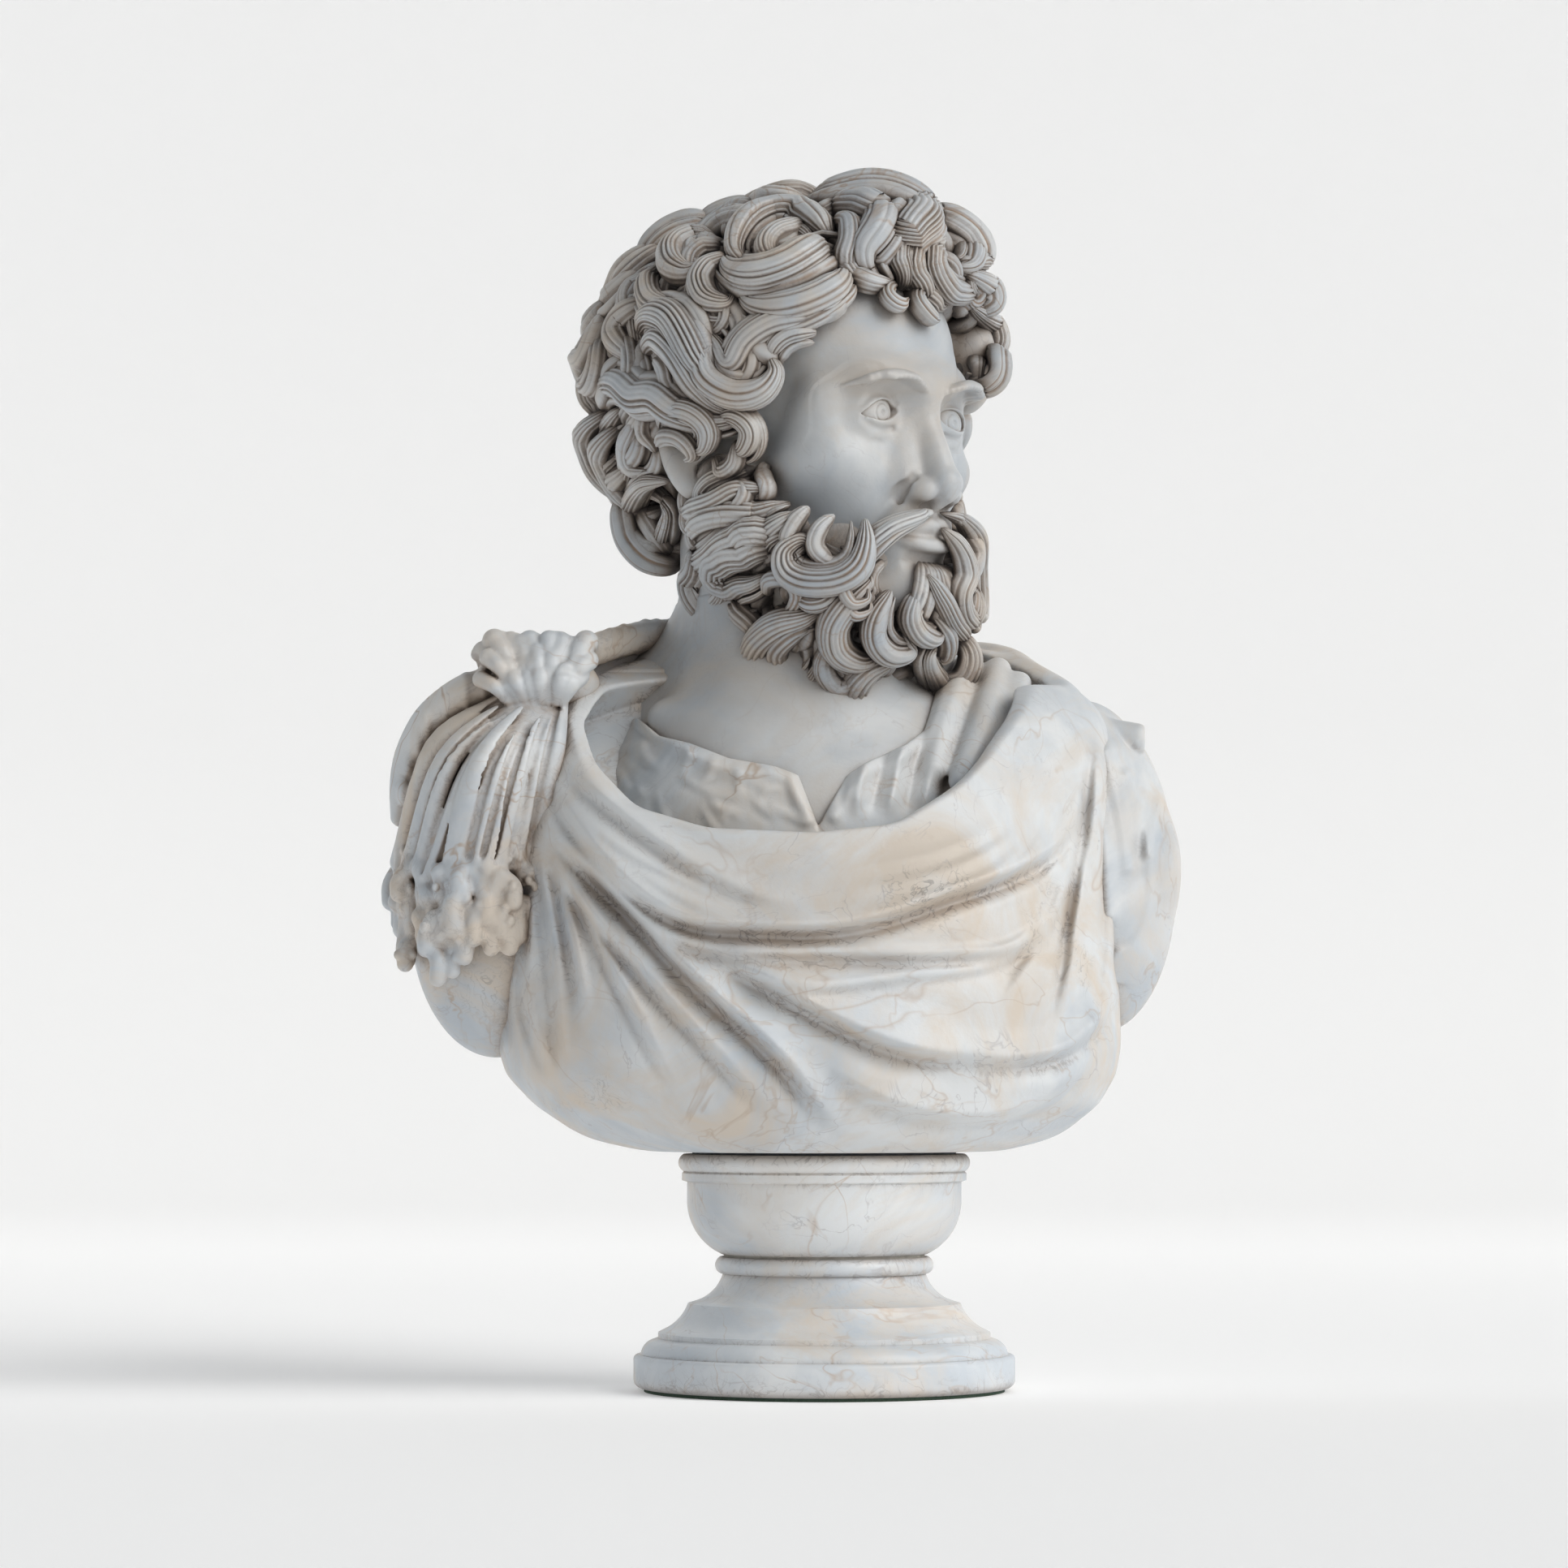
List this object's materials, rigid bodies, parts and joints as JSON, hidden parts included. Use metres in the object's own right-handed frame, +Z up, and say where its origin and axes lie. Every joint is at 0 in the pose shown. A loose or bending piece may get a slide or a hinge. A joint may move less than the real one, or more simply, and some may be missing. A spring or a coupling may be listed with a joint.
{
  "type": "marble bust",
  "caption": "Draped, bearded marble bust with the head turned to its left, on a turned round socle; ornament that stands on its felted foot.",
  "frame": {"origin": "on the socle's axis, at the underside of the felt that the bust stands on", "axes": "+Z up, the chest faces -Y, and the head is turned towards +X, which is its own left"},
  "size_m": [0.4457, 0.2795, 0.7],
  "materials": {
    "marble": "honed veined white marble with brown and dark patina in the hollows",
    "felt": "pressed wool felt",
    "mortar": "lime mortar",
    "steel": "stainless steel",
    "lead": "dull lead sheet",
    "resin": "cast polyester resin",
    "bronze": "bronze bar"
  },
  "bodies": {
    "root": {"felt_disc": "felt", "socle_foot": "marble", "socle_bed": "mortar", "socle_bowl": "marble", "socle_pins": "steel", "seat_shim": "lead", "seat_pin": "steel", "tie_rod": "steel", "rod_resin": "resin", "rod_washer": "steel", "rod_nut": "steel", "torso": "marble", "head": "marble", "neck_bed": "mortar", "neck_dowel": "bronze"}
  },
  "joints": []
}
